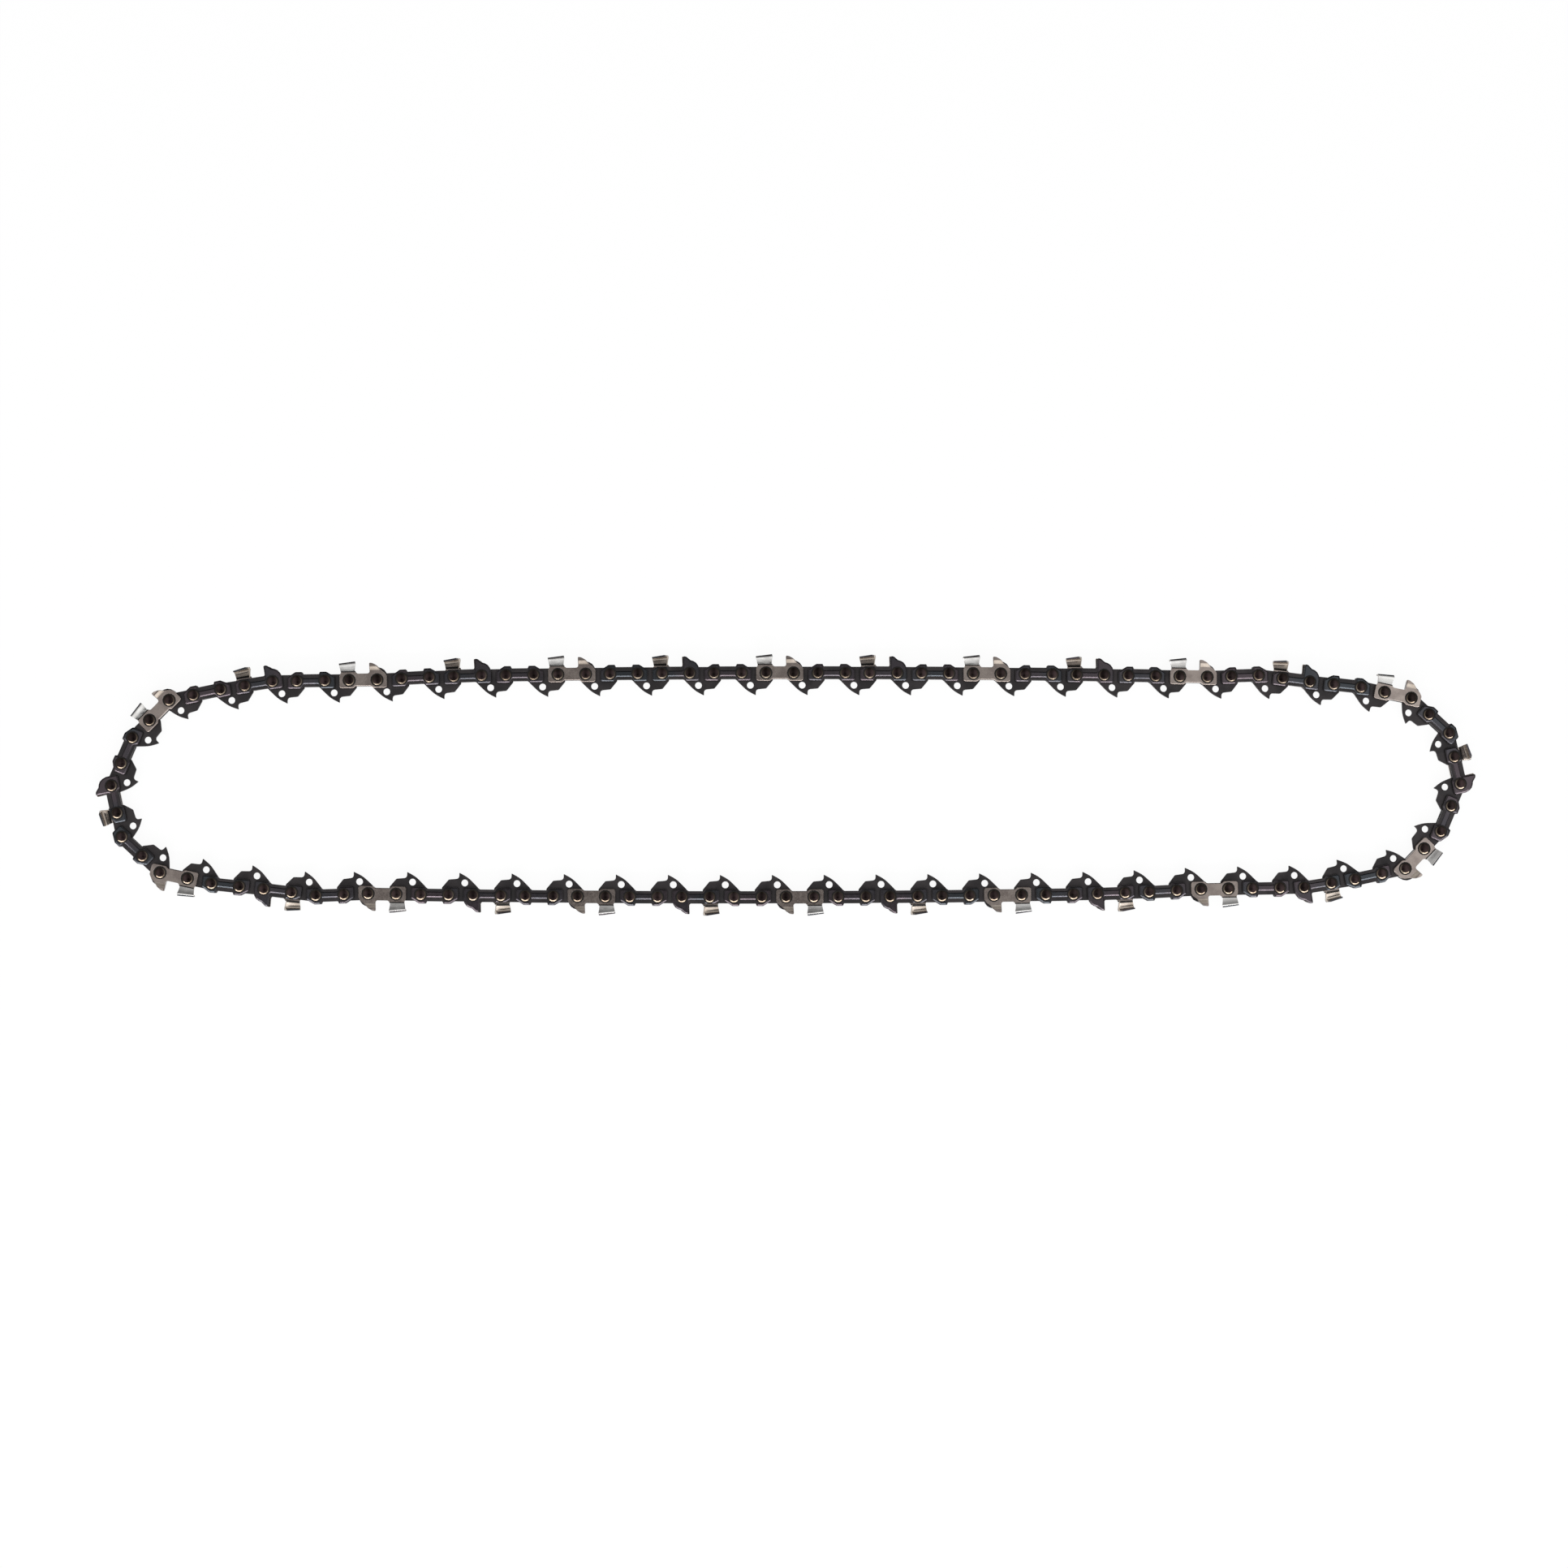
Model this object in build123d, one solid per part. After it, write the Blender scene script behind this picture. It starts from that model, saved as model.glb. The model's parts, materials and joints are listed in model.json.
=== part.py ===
"""Chainsaw chain loop, lying flat on its side as one closed, slack oval.

The chain is a row of link units. A unit is a drive link, the pair of side plates that follows it and
the two rivets that hold them, and it turns on the unit behind it about that unit's front rivet. Every
second pair of side plates holds a cutter, on the right and on the left side in turn, with a bumper
strap opposite. The other pairs are two plain tie straps.

A unit is drawn with its rear pivot at the origin, x along the travel, y away from the guide bar and
z along the rivets, towards the right-hand side of the chain. The loop is the same after half a turn,
so it closes for any list of turns that adds up to 180 degrees over half of its units.
"""

import math
import os

from build123d import *

# Driving dimensions, in millimetres and degrees

LINK_COUNT = 56
DRIVE_PITCH = 8.70  # between the two rivets of a drive link
SIDE_PITCH = 9.94  # between the two rivets of a side plate

# How the slack loop lies: the turn at each pivot round one end, then an even bow along the run
END_TURNS = (-3, 9, -1, 6, 31, 35, 35, 21, 34, 3, 8, 0, -2, 1, 1)
START_HEADING = -1.1  # direction of the first unit, from +X

# Layers along the rivets
GAUGE = 1.10  # drive link, which runs in the guide bar's groove
PLATE_THICKNESS = 1.20
HEAD_HEIGHT = 0.50

# Rivets and what turns on them. Each round is drawn with few sides, because there are hundreds
ROUND_SIDES = 5
PIN_RADIUS = 1.70
PIN_CLEARANCE = 0.05
HEAD_RADIUS = 2.45
TANG_HOLE_RADIUS = 1.20

# Side plates: heights are from the line through the rivets
PLATE_GAP = 1.50  # between the plates of two units in line
PLATE_INNER = 2.80
WAIST_HEIGHT = 2.40
HUMP_HEIGHT = 3.25
HUMP_INNER = 1.70  # how far a hump's flat reaches from its rivet, towards the waist
HUMP_OUTER = 0.70  # and towards the plate's end
HUMP_STEP = 0.40
END_SHOULDER = 1.40  # where a plate's outer slopes begin
INNER_CORNER = 0.70  # how far a plate's inner edge stops short of its end

# Cutter and bumper strap
GAUGE_TIP_HEIGHT = 6.30  # depth gauge, ahead of the cutting edge
GAUGE_TIP_BACK = 2.70  # behind the front rivet
GAUGE_FOOT_BACK = 3.00
GAUGE_BROW = (0.00, 5.10)  # a point of its sloping front, from the front rivet
BUMPER_TIP_HEIGHT = 6.20
BUMPER_TIP_BACK = 2.40
BUMPER_FOOT_BACK = 2.90
BUMPER_BROW = (1.60, 4.30)
TOP_PLATE_REAR = 3.70  # behind the rear rivet
TOP_PLATE_SLANT = 0.70  # how far the foot of its rear edge lies ahead of its top
TOP_PLATE_FRONT = 2.40  # ahead of the rear rivet
TOP_PLATE_HEIGHT = 6.00  # at its rear
TOP_PLATE_RISE = 0.80  # towards the cutting edge
TOP_PLATE_THICKNESS = 0.80
TOP_PLATE_INNER = 0.45  # how far it reaches past the middle of the chain
TOP_PLATE_CORNER = 0.70  # rounded working corner
TOP_PLATE_ANGLE = 30  # of the cutting edge, from straight across
SIDE_WALL_FOOT = 2.90  # where the cutter's wall begins to lean outwards
SIDE_WALL_BEND = 4.00

# Drive link: depths are towards the guide bar
DRIVE_TOP = 2.30
DRIVE_END = 2.60  # beyond each rivet
DRIVE_END_CORNER = 1.20
BACK_START = (-1.40, 3.00)  # points of the tang's back, from the rear rivet
BACK_MIDDLE = (1.40, 5.85)
TANG_TIP = (5.00, 7.90)
HOOK_FACE = (5.20, 6.70)
HOOK_TOP = (6.05, 5.85)
TANG_HOLE = (3.10, 4.35)
STEP_END = (0.00, 5.50)  # points of the tang's front, from the front rivet
FRONT_END = (2.30, 2.85)

# Worked out from those

HALF_COUNT = LINK_COUNT // 2
RUN_TURN = (180 - sum(END_TURNS)) / (HALF_COUNT - len(END_TURNS))
HALF_TURNS = END_TURNS + (RUN_TURN,) * (HALF_COUNT - len(END_TURNS))
UNIT_LENGTH = DRIVE_PITCH + SIDE_PITCH
PLATE_END = (DRIVE_PITCH - PLATE_GAP) / 2
PLATE_FACE = GAUGE / 2
PLATE_OUTSIDE = PLATE_FACE + PLATE_THICKNESS
HALF_WIDTH = PLATE_OUTSIDE + HEAD_HEIGHT
UNIT_KINDS = ("right_cutter", "tie", "left_cutter", "tie")


def slab(points, low, high):
    """A flat piece with this outline, between two heights along the rivets."""
    return extrude(Pos(0, 0, low) * Polygon(*points, align=None), high - low)


def round_bar(x, radius, low, high):
    """A round of few sides about the rivet line at x, whose corners lie on the radius."""
    return extrude(Pos(x, 0, low) * RegularPolygon(radius, ROUND_SIDES), high - low)


def round_cut(x, y, radius):
    """What a round hole takes out of a drive link, with the flats of its few sides on the radius."""
    hole = RegularPolygon(radius, ROUND_SIDES, major_radius=False)
    return extrude(Pos(x, y, -GAUGE / 2) * hole, GAUGE)


def drive_link():
    """The link that runs in the groove: two eyes, a hooked tang and the hole through it."""
    rear, front = -DRIVE_END, DRIVE_PITCH + DRIVE_END
    tang = [BACK_START, BACK_MIDDLE, TANG_TIP, HOOK_FACE, HOOK_TOP]
    tang += [(DRIVE_PITCH + x, depth) for x, depth in (STEP_END, FRONT_END)]
    outline = [(x, -depth) for x, depth in tang]
    outline += [(front, DRIVE_TOP), (rear, DRIVE_TOP), (rear, -DRIVE_END_CORNER)]
    link = slab(outline, -GAUGE / 2, GAUGE / 2)
    link -= round_cut(0, 0, PIN_RADIUS + PIN_CLEARANCE)
    return link - round_cut(TANG_HOLE[0], -TANG_HOLE[1], TANG_HOLE_RADIUS)


def plate_foot():
    """The inner edge of a side plate, from its rear end to its front end."""
    rear, front = INNER_CORNER - PLATE_END, SIDE_PITCH + PLATE_END - INNER_CORNER
    return [(rear, -PLATE_INNER), (front, -PLATE_INNER)]


def tie_strap():
    """A plain side plate with a hump over each rivet and a waist between them."""
    rear_hump = [
        (HUMP_INNER + HUMP_STEP, WAIST_HEIGHT),
        (HUMP_INNER, HUMP_HEIGHT),
        (-HUMP_OUTER, HUMP_HEIGHT),
        (-PLATE_END, END_SHOULDER),
    ]
    front_hump = [(SIDE_PITCH - x, y) for x, y in reversed(rear_hump)]
    return slab(plate_foot() + front_hump + rear_hump, PLATE_FACE, PLATE_OUTSIDE)


def bumper_strap():
    """The side plate opposite a cutter, with a guard fin over its front rivet."""
    outline = plate_foot() + [
        (SIDE_PITCH + PLATE_END, END_SHOULDER),
        (SIDE_PITCH + BUMPER_BROW[0], BUMPER_BROW[1]),
        (SIDE_PITCH - BUMPER_TIP_BACK, BUMPER_TIP_HEIGHT),
        (SIDE_PITCH - BUMPER_FOOT_BACK, WAIST_HEIGHT),
        (HUMP_INNER - PLATE_END, WAIST_HEIGHT),
        (-PLATE_END, END_SHOULDER),
    ]
    return slab(outline, PLATE_FACE, PLATE_OUTSIDE)


def top_plate():
    """The cutter's hooked blade: a wall that leans outwards and a plate across the chain."""
    under = TOP_PLATE_HEIGHT - TOP_PLATE_THICKNESS
    section = [
        (SIDE_WALL_FOOT, PLATE_FACE),
        (under, PLATE_FACE),
        (under, -TOP_PLATE_INNER),
        (TOP_PLATE_HEIGHT, -TOP_PLATE_INNER),
        (TOP_PLATE_HEIGHT, HALF_WIDTH - TOP_PLATE_CORNER),
        (TOP_PLATE_HEIGHT - TOP_PLATE_CORNER, HALF_WIDTH),
        (SIDE_WALL_BEND, HALF_WIDTH),
        (SIDE_WALL_FOOT, PLATE_OUTSIDE),
    ]
    rear_top = (-TOP_PLATE_REAR, TOP_PLATE_HEIGHT, 0)
    rear_plane = Plane.YZ.offset(-TOP_PLATE_REAR)
    rise = Vector(TOP_PLATE_REAR + TOP_PLATE_FRONT, TOP_PLATE_RISE, 0)
    blade = extrude(rear_plane * Polygon(*section, align=None), rise.length, dir=rise.normalized())
    edge = math.radians(TOP_PLATE_ANGLE)
    face = Plane(origin=(TOP_PLATE_FRONT, 0, HALF_WIDTH), z_dir=(math.cos(edge), 0, -math.sin(edge)))
    heel = Plane(origin=rear_top, z_dir=(SIDE_WALL_FOOT - TOP_PLATE_HEIGHT, -TOP_PLATE_SLANT, 0))
    return split(split(blade, bisect_by=face, keep=Keep.BOTTOM), bisect_by=heel, keep=Keep.BOTTOM)


def cutter():
    """The side plate that cuts: blade over the rear rivet, gullet, depth gauge over the front one."""
    heel = TOP_PLATE_SLANT - TOP_PLATE_REAR
    outline = plate_foot() + [
        (SIDE_PITCH + PLATE_END, END_SHOULDER),
        (SIDE_PITCH + GAUGE_BROW[0], GAUGE_BROW[1]),
        (SIDE_PITCH - GAUGE_TIP_BACK, GAUGE_TIP_HEIGHT),
        (SIDE_PITCH - GAUGE_FOOT_BACK, WAIST_HEIGHT),
        (TOP_PLATE_FRONT, WAIST_HEIGHT),
        (TOP_PLATE_FRONT, SIDE_WALL_BEND),
        (heel, SIDE_WALL_FOOT),
        (-PLATE_END, END_SHOULDER),
    ]
    return slab(outline, PLATE_FACE, PLATE_OUTSIDE) + top_plate()


def link_unit(kind):
    """A drive link with the riveted pair of side plates that follows it, as one rigid piece."""
    right = cutter() if kind == "right_cutter" else tie_strap() if kind == "tie" else bumper_strap()
    left = cutter() if kind == "left_cutter" else tie_strap() if kind == "tie" else bumper_strap()
    unit = drive_link() + Pos(DRIVE_PITCH, 0, 0) * (right + mirror(left, about=Plane.XY))
    unit += round_bar(UNIT_LENGTH, PIN_RADIUS, -PLATE_FACE, PLATE_FACE)
    for x in (DRIVE_PITCH, UNIT_LENGTH):
        unit += round_bar(x, HEAD_RADIUS, PLATE_OUTSIDE, HALF_WIDTH)
        unit += round_bar(x, HEAD_RADIUS, -HALF_WIDTH, -PLATE_OUTSIDE)
    return unit


def unit_places():
    """Where each unit's rear pivot lies in the loop, and its heading, with the loop's middle at zero."""
    places, x, y, heading = [], 0.0, 0.0, START_HEADING
    for index in range(LINK_COUNT):
        places.append((x, y, heading))
        x += UNIT_LENGTH * math.cos(math.radians(heading))
        y += UNIT_LENGTH * math.sin(math.radians(heading))
        heading -= HALF_TURNS[index % HALF_COUNT]
    middle_x, middle_y = places[HALF_COUNT][0] / 2, places[HALF_COUNT][1] / 2
    return [(x - middle_x, y - middle_y, heading) for x, y, heading in places]


def unit_name(index):
    """The node name of a unit, counted from one."""
    return f"link_{index + 1:02d}_{UNIT_KINDS[index % len(UNIT_KINDS)]}"


def build():
    """Write every unit of the loop, laid flat with the left-hand rivet heads on the ground."""
    os.makedirs("parts", exist_ok=True)
    units = {kind: link_unit(kind) for kind in set(UNIT_KINDS)}
    for index, (x, y, heading) in enumerate(unit_places()):
        unit = units[UNIT_KINDS[index % len(UNIT_KINDS)]]
        laid = Pos(x, y, HALF_WIDTH) * Rot(0, 0, heading) * unit
        export_step(laid, f"parts/{unit_name(index)}.step")


build()
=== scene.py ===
"""Dress the chainsaw chain loop for its picture.

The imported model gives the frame: one body and one CAD node for each link unit. A unit is a drive link,
the pair of side plates that follows it and their two rivets. Each unit is drawn again here with rounded
outlines, coined lands, hooked blades and spun rivet heads, and rides on its body.

Sizes are millimetres in a unit's own frame: x along the travel from the rear pivot, y away from the
guide bar and z along the rivets, towards the right-hand side of the chain, which lies uppermost.
"""

from __future__ import annotations

import json
import logging
import math
from dataclasses import dataclass, field
from enum import Enum
from typing import Any, Sequence

import bpy
import numpy as np
from mathutils import Matrix, Vector
from mathutils.geometry import tessellate_polygon
from numpy.typing import NDArray

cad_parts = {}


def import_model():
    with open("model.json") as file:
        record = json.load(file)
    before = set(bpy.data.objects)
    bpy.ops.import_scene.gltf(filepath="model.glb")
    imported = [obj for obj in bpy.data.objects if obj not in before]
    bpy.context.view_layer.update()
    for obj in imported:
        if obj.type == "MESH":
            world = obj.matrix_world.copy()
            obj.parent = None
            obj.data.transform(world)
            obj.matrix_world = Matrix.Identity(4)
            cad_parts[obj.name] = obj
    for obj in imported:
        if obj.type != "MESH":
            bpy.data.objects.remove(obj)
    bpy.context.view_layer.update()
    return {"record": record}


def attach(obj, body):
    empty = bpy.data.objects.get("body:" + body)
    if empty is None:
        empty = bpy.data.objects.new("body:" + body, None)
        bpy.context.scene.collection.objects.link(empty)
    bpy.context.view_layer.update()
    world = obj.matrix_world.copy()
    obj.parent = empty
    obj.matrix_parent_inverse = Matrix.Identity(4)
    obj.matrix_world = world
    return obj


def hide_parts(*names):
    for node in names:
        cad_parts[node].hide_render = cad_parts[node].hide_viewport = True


LOG = logging.getLogger("chain_loop")
WHITE = (1.0, 1.0, 1.0, 1.0)
MM = 0.001
# Points on a rounded corner of an outline and of a blade's section, and on a full circle
ARC_STEPS = 4
SECTION_STEPS = 3
ROUND_SIDES = 14
# Smallest radius of a corner, in millimetres, and the angle from which an edge is shaded as sharp
SHARPEST = 0.03
SHARP_ANGLE = math.radians(16)
# Noise values between which a finish's tones mix and its gloss changes, and how much its grain shows
CLOUD_SPREAD = (0.38, 0.62)
GRAIN_SPREAD = (0.3, 0.7)
GRAIN_STRENGTH = 0.6

Points = NDArray[np.float64]
Pair = tuple[float, float]
Corner = tuple[float, float, float]
Faces = list[list[int]]


# Colours and nodes


def linear(code: str) -> tuple[float, float, float, float]:
    """Turn an sRGB hex colour into a linear one.

    Args:
        code: six hex digits after a hash.

    Returns:
        Linear red, green, blue and an alpha of one.
    """
    values = [int(code[i : i + 2], 16) / 255 for i in (1, 3, 5)]
    red, green, blue = (v / 12.92 if v <= 0.04045 else ((v + 0.055) / 1.055) ** 2.4 for v in values)
    return red, green, blue, 1.0


def add_node(
    tree: bpy.types.NodeTree, kind: str, sockets: dict[Any, Any], **settings: Any
) -> bpy.types.Node:
    """Add a node, set it up and link it.

    Args:
        tree: the node tree.
        kind: Blender's name for the node.
        sockets: what each input gets: a socket or a node's first output to link, or a value to hold.
        settings: the node's own settings.

    Returns:
        The new node.
    """
    node = tree.nodes.new(kind)
    for name, value in settings.items():
        setattr(node, name, value)
    for name, value in sockets.items():
        value = value.outputs[0] if isinstance(value, bpy.types.Node) else value
        if isinstance(value, bpy.types.NodeSocket):
            tree.links.new(value, node.inputs[name])
        else:
            node.inputs[name].default_value = value
    return node


def ranged(value: bpy.types.NodeSocket | bpy.types.Node, source: Pair, result: Pair) -> dict[str, Any]:
    """List the inputs that turn one range of values into another.

    Args:
        value: the socket or node to read.
        source: where the values start and end.
        result: what these two become.

    Returns:
        Each input's name and what it gets.
    """
    (low, high), (first, last) = source, result
    return {"Value": value, "From Min": low, "From Max": high, "To Min": first, "To Max": last}


def seen_or_mirrored(tree: bpy.types.NodeTree) -> bpy.types.Node:
    """Add up the ray kinds that show a background: to the camera, in gloss and through glass.

    Args:
        tree: the node tree.

    Returns:
        A node that gives one for such a ray and zero for light.
    """
    path = add_node(tree, "ShaderNodeLightPath", {}).outputs
    seen = path["Is Camera Ray"]
    for kind in ("Is Glossy Ray", "Is Transmission Ray"):
        seen = add_node(tree, "ShaderNodeMath", {0: seen, 1: path[kind]}, operation="ADD", use_clamp=True)
    return seen


def per_metre(size_mm: float) -> float:
    """Texture scale for a pattern whose features are this many millimetres apart."""
    return 1.0 / (size_mm * MM)


# Finishes


@dataclass(frozen=True)
class SteelFinish:
    """A metal surface: two tones that cloud into each other, a grain and an uneven gloss.

    Attributes:
        name: the real material and how its surface was made.
        tone: sRGB colour of most of the surface.
        second_tone: sRGB colour of the clouds.
        cloud_mm: size of the clouds.
        metallic: share of the surface that reflects as bare metal.
        roughness: lowest and highest roughness.
        grain_mm: size of the grain, drawn coarser than the real one, which is too fine to show.
        grain_depth_mm: height of the grain.
        stretch: how many times longer the grain is along the object's length.
    """

    name: str
    tone: str
    second_tone: str
    cloud_mm: float
    metallic: float
    roughness: Pair
    grain_mm: float
    grain_depth_mm: float
    stretch: float = 1.0

    def material(self) -> bpy.types.Material:
        """Make the material on its first use and hand out the same one afterwards."""
        found = bpy.data.materials.get(self.name)
        return found if found else self._make()

    def _make(self) -> bpy.types.Material:
        """Build the nodes: clouds mix the tones, the grain drives gloss and bump.

        Returns:
            The new material.
        """
        made = bpy.data.materials.new(self.name)
        made.use_nodes = True
        tree = made.node_tree
        tree.nodes.clear()
        place = add_node(tree, "ShaderNodeTexCoord", {}).outputs["Object"]
        size = per_metre(self.cloud_mm)
        cloud = add_node(tree, "ShaderNodeTexNoise", {"Vector": place, "Scale": size, "Detail": 3.0})
        blend = ranged(cloud, CLOUD_SPREAD, (0.0, 1.0))
        spread = add_node(tree, "ShaderNodeMapRange", blend, interpolation_type="SMOOTHSTEP")
        ramp = add_node(tree, "ShaderNodeValToRGB", {"Fac": spread})
        ramp.color_ramp.elements[0].color = linear(self.tone)
        ramp.color_ramp.elements[1].color = linear(self.second_tone)
        drawn = add_node(
            tree, "ShaderNodeMapping", {"Vector": place, "Scale": (1.0 / self.stretch, 1.0, 1.0)}
        )
        size = per_metre(self.grain_mm)
        grain = add_node(tree, "ShaderNodeTexNoise", {"Vector": drawn, "Scale": size, "Detail": 2.0})
        gloss = add_node(tree, "ShaderNodeMapRange", ranged(grain, GRAIN_SPREAD, self.roughness))
        relief = {"Height": grain, "Strength": GRAIN_STRENGTH, "Distance": self.grain_depth_mm * MM}
        bump = add_node(tree, "ShaderNodeBump", relief)
        surface = {"Base Color": ramp, "Metallic": self.metallic, "Roughness": gloss, "Normal": bump}
        shader = add_node(tree, "ShaderNodeBsdfPrincipled", surface)
        add_node(tree, "ShaderNodeOutputMaterial", {"Surface": shader})
        return made


# Oil-blackened after blanking: nearly black, with a dull sheen where the oil has dried
BLACKENED = SteelFinish("oil_blackened_blanked_steel", "#3a3738", "#302e2f", 7, 0.9, (0.4, 0.56), 0.8, 0.012)
# Blued by heat after stamping: violet-brown on some links, blue-black on others. On the blade the same
# finish is painted shade: the dark strip at its top and the skin on and under its top plate
BLUED_AND_SHADE = SteelFinish("heat_blued_steel_and_painted_shade", "#494246", "#3a3d41", 23.0, 0.9, (0.2, 0.28), 0.9, 0.004)
# Plated and tumbled smooth: a warm satin grey
SATIN = SteelFinish("tumbled_satin_plated_steel", "#948a84", "#857b76", 4.0, 1.0, (0.2, 0.28), 0.7, 0.006)
# Hard chrome, ground along the blade: bright, with streaks along the cut
CHROME = SteelFinish("ground_hard_chrome", "#c9c8c6", "#b4b2b0", 6.0, 1.0, (0.16, 0.3), 0.7, 0.003, 3.0)
# Bare steel inside the blade, filed along it: warm and bright. On the depth gauge's steeper face the same
# finish is a painted highlight
FILED_AND_HIGHLIGHT = SteelFinish("filed_bare_steel_and_painted_highlight", "#c4b9ae", "#b3a79b", 4.0, 1.0, (0.2, 0.28), 0.7, 0.002, 3.0)
# Brown oxide on the flat tops of spun rivet heads: dark, a little glossy
BROWNED = SteelFinish("browned_spun_rivet_steel", "#312727", "#1f1817", 6.0, 0.95, (0.16, 0.26), 0.8, 0.003)
# The shoulder that the spinning tool rubbed: darkened steel, a little brassy; its tone, lighter than the
# dome's, is partly a painted highlight that makes the lamp's bright glint on it brighter
BURNISHED_AND_HIGHLIGHT = SteelFinish(
    "burnished_rivet_shoulder_and_highlight_steel", "#6e6458", "#62574b", 3.0, 1.0, (0.13, 0.18), 0.8, 0.002
)
# Black and matt painted shade: a ring in the crease round each rivet head, and strips along the blade's foot
# outside and inside its wall
PAINTED_SHADE = SteelFinish("painted_shade_black_steel", "#1d1a19", "#161414", 3.0, 0.7, (0.5, 0.65), 0.8, 0.006)


# Outlines and closed surfaces


def unit_rows(rows: Points) -> Points:
    """Scale each row to length one."""
    return rows / np.linalg.norm(rows, axis=-1, keepdims=True)


def rounded(corners: Sequence[Corner], depth: float = 0.0, steps: int = ARC_STEPS) -> Points:
    """Move a polygon's sides into the material and round each corner with an arc tangent to both sides.

    Each corner first moves along the mitre of its two sides' normals. Where the sides meet at an angle
    phi, the arc's centre then lies r / sin(phi / 2) from the corner along the bisector, and the arc
    turns through pi - phi. An outer corner's radius shrinks by the depth and an inner one's grows by it.

    Args:
        corners: x, y and radius of each corner, anticlockwise round the material.
        depth: how far each side moves in.
        steps: points on each arc.

    Returns:
        The outline, one point a row.
    """
    table = np.asarray(corners, dtype=float)
    corner, radius = table[:, :2], table[:, 2:]
    back = unit_rows(np.roll(corner, 1, axis=0) - corner)
    ahead = unit_rows(np.roll(corner, -1, axis=0) - corner)
    half = np.arccos(np.sum(back * ahead, axis=1, keepdims=True)) / 2
    side = np.sign(back[:, 1:] * ahead[:, :1] - back[:, :1] * ahead[:, 1:])
    bisector = unit_rows(back + ahead)
    corner = corner + side * bisector * depth / np.sin(half)
    radius = np.maximum(radius - side * depth, SHARPEST)
    centre = corner + bisector * radius / np.sin(half)
    spoke = corner + back * radius / np.tan(half) - centre
    angle = side * (math.pi - 2 * half) * np.linspace(0, 1, steps)
    across = np.stack((-spoke[:, 1], spoke[:, 0]), axis=1)
    arc = spoke[:, None] * np.cos(angle)[..., None] + across[:, None] * np.sin(angle)[..., None]
    return (centre[:, None] + arc).reshape(-1, 2)


def circle(x: float, y: float, radius: float) -> Points:
    """Anticlockwise points at even angles on a circle."""
    angle = np.linspace(0, 2 * math.pi, ROUND_SIDES, endpoint=False)
    return np.stack((x + radius * np.cos(angle), y + radius * np.sin(angle)), axis=1)


def ring_walls(count: int, rows: int, start: int = 0) -> Faces:
    """Quads between stacked rings: point i of a row joins i + 1 and the same two of the next row.

    Args:
        count: points in each ring.
        rows: rings in the stack.
        start: index of the first point.

    Returns:
        The quads' point indices.
    """
    here = np.arange(count)
    ahead = np.roll(here, -1)
    row = start + count * np.arange(rows - 1)[:, None]
    quads = np.stack((row + here, row + ahead, row + ahead + count, row + here + count), axis=-1)
    return quads.reshape(-1, 4).tolist()


def pierced_cap(points: Points, rings: list[NDArray[np.int64]], upward: bool) -> Faces:
    """Fill a flat face that has holes with triangles that all point the same way.

    Args:
        points: all points of the surface.
        rings: indices of the outline and of each hole.
        upward: whether the face looks along +z.

    Returns:
        The triangles' point indices.
    """
    index = np.concatenate(rings)
    loops = [[Vector(point) for point in points[ring]] for ring in rings]
    triangles = index[np.asarray(tessellate_polygon(loops), dtype=int)]
    a, b, c = (points[triangles[:, k], :2] for k in range(3))
    area = (b - a)[:, 0] * (c - a)[:, 1] - (b - a)[:, 1] * (c - a)[:, 0]
    turned = np.where(((area > 0) == upward)[:, None], triangles, triangles[:, ::-1])
    return turned.tolist()


@dataclass
class Shell:
    """A closed surface.

    Attributes:
        points: its points, in millimetres, one a row.
        faces: the point indices of each face, anticlockwise seen from outside.
        finishes: what each face is made of.
    """

    points: Points
    faces: Faces
    finishes: list[SteelFinish]

    def mirrored(self) -> Shell:
        """The same piece on the other side of the chain, with its faces turned to point outwards."""
        return Shell(self.points * (1.0, 1.0, -1.0), [face[::-1] for face in self.faces], self.finishes)

    def shifted(self, x: float) -> Shell:
        """The same piece further along the chain."""
        return Shell(self.points + (x, 0.0, 0.0), self.faces, self.finishes)


def closed_stack(grid: Points, bands: Sequence[SteelFinish]) -> Shell:
    """Close a stack of rings into a surface, with walls between the rings and a cap at each end.

    Args:
        grid: points as ring, place in the ring and coordinate.
        bands: what the wall above each ring is made of; the caps take after the walls next to them.

    Returns:
        The closed surface.
    """
    rows, count, _ = grid.shape
    last = np.arange(count * (rows - 1), count * rows)
    faces = ring_walls(count, rows) + [last.tolist(), np.arange(count)[::-1].tolist()]
    finishes = [finish for finish in bands for _ in range(count)] + [bands[-1], bands[0]]
    return Shell(grid.reshape(-1, 3), faces, finishes)


def level(ring: Points, height: float) -> Points:
    """Lay a flat outline at a height."""
    return np.column_stack((ring, np.full(len(ring), height)))


def pressed(corners: Sequence[Corner], profile: Sequence[Pair], finish: SteelFinish) -> Shell:
    """A flat piece with worked edges: the outline is repeated at each height, moved in by its inset.

    Args:
        corners: the outline's corners.
        profile: inset and height of each ring, from the lower face to the upper one.
        finish: what it is made of.

    Returns:
        The closed surface.
    """
    rings = np.stack([level(rounded(corners, depth), z) for depth, z in profile])
    return closed_stack(rings, [finish] * (len(profile) - 1))


# The pieces of a link unit


class Side(Enum):
    """What a unit carries on each side, by the last words of its node's name."""

    RIGHT_CUTTER = "right_cutter"
    LEFT_CUTTER = "left_cutter"
    TIE = "tie"


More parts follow.
